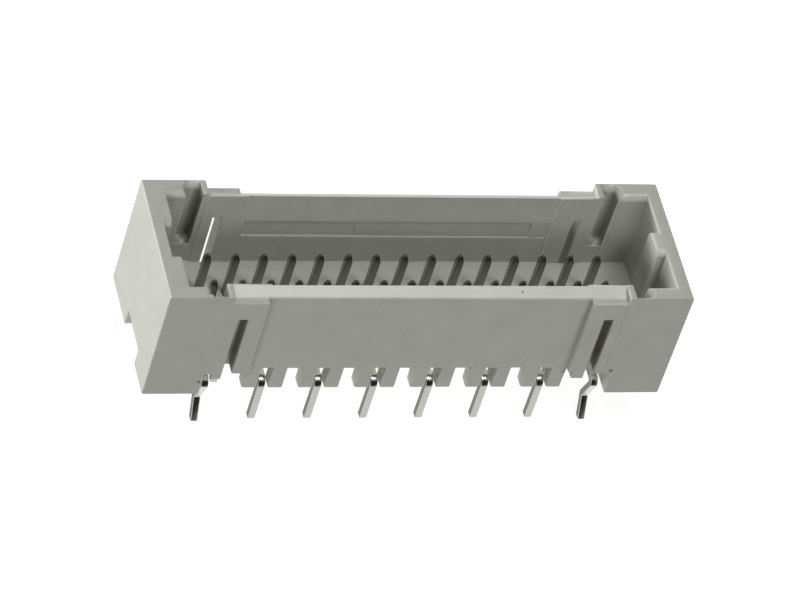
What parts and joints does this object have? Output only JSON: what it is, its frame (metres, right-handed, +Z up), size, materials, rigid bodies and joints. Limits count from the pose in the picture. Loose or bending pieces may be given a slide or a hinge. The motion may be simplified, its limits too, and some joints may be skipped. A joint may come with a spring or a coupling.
{
  "type": "shrouded pin header",
  "caption": "Upright board connector: a grey moulded shroud with open top, keyed ends and side slots round rows of square contacts with solder tails below.",
  "frame": {"origin": "centre of the footprint, on the board plane under the feet", "axes": "+X along the contact rows towards the end with the rib, +Y towards the rear wall, +Z up out of the board towards the plug"},
  "size_m": [0.037, 0.0108, 0.0131],
  "materials": {
    "housing_plastic": "fine matt grey moulding",
    "contact_tin": "bright tin plate over brass wire"
  },
  "bodies": {
    "root": {"housing": "housing_plastic", "contact_front_01": "contact_tin", "contact_front_02": "contact_tin", "contact_front_03": "contact_tin", "contact_front_04": "contact_tin", "contact_front_05": "contact_tin", "contact_front_06": "contact_tin", "contact_front_07": "contact_tin", "contact_front_08": "contact_tin", "contact_front_09": "contact_tin", "contact_front_10": "contact_tin", "contact_front_11": "contact_tin", "contact_front_12": "contact_tin", "contact_front_13": "contact_tin", "contact_front_14": "contact_tin", "contact_front_15": "contact_tin", "contact_rear_01": "contact_tin", "contact_rear_02": "contact_tin", "contact_rear_03": "contact_tin", "contact_rear_04": "contact_tin", "contact_rear_05": "contact_tin", "contact_rear_06": "contact_tin", "contact_rear_07": "contact_tin", "contact_rear_08": "contact_tin", "contact_rear_09": "contact_tin", "contact_rear_10": "contact_tin", "contact_rear_11": "contact_tin", "contact_rear_12": "contact_tin", "contact_rear_13": "contact_tin", "contact_rear_14": "contact_tin", "contact_rear_15": "contact_tin"}
  },
  "joints": []
}
